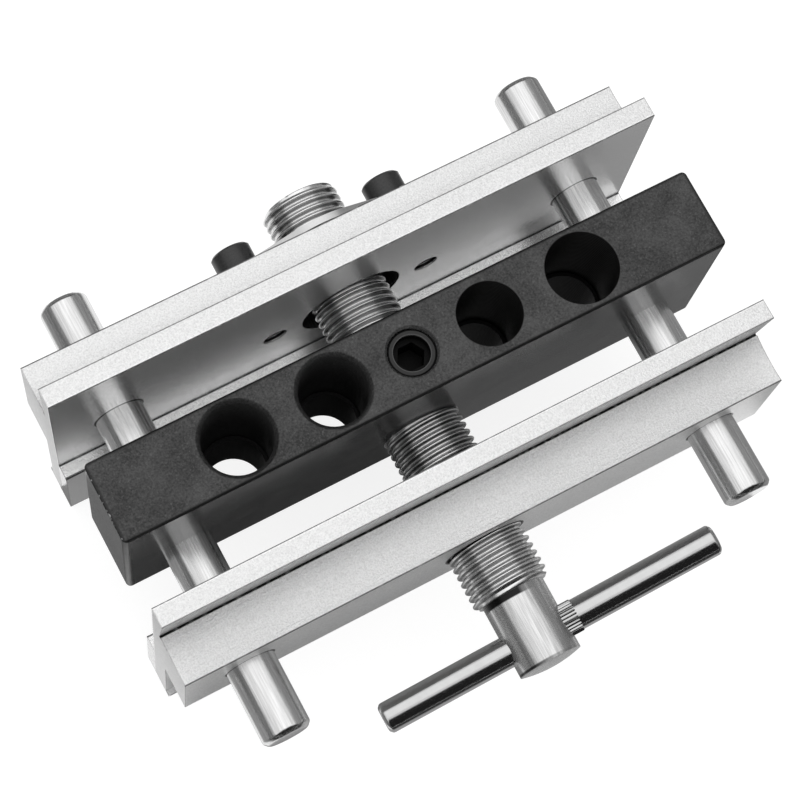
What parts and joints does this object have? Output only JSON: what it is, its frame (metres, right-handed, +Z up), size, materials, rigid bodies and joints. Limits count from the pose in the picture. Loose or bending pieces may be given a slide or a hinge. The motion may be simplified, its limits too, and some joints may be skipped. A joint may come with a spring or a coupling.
{
  "type": "self centering doweling jig",
  "caption": "Doweling jig: a drilled steel guide block between two aluminium jaws on guide rods, drawn in together by a left and right hand lead screw with a T handle.",
  "frame": {"origin": "middle of the guide block's underside, the seat that rests on the edge of the board", "axes": "+X along the block, +Y from the handle side to the back, +Z up, out of the drilled face"},
  "size_m": [0.155, 0.1287, 0.0805],
  "materials": {
    "guide_block": "black oxide, satin",
    "guide_rod": "ground and polished",
    "screw_retainer": "black oxide",
    "jaw": "bead blasted, clear anodised",
    "screw_nut": "turned",
    "cap_screw": "black oxide",
    "lead_screw": "turned, bright",
    "handle_bar": "polished"
  },
  "bodies": {
    "block": {"guide_block": "guide_block", "guide_rod_left": "guide_rod", "guide_rod_right": "guide_rod", "screw_retainer": "screw_retainer"},
    "front_jaw": {"front_jaw": "jaw"},
    "back_jaw": {"back_jaw": "jaw", "screw_nut": "screw_nut", "nut_cap_screws": "cap_screw"},
    "screw": {"lead_screw": "lead_screw", "handle_bar": "handle_bar"}
  },
  "joints": [
    {"name": "screw_turn", "type": "hinge", "parent": "block", "child": "screw", "pos_m": [0, 0, 0.0154], "axis": [0, 1, 0], "range_deg": [-1875, 2765]},
    {"name": "front_jaw_slide", "type": "slide", "parent": "block", "child": "front_jaw", "axis": [0, 1, 0], "range_m": [-0.0099, 0.0146]},
    {"name": "back_jaw_slide", "type": "slide", "parent": "block", "child": "back_jaw", "axis": [0, -1, 0], "range_m": [-0.0099, 0.0146]}
  ],
  "couplings": [
    {"joint": "front_jaw_slide", "follows": "screw_turn", "m_per_rad": 0.00030239},
    {"joint": "back_jaw_slide", "follows": "screw_turn", "m_per_rad": 0.00030239}
  ]
}
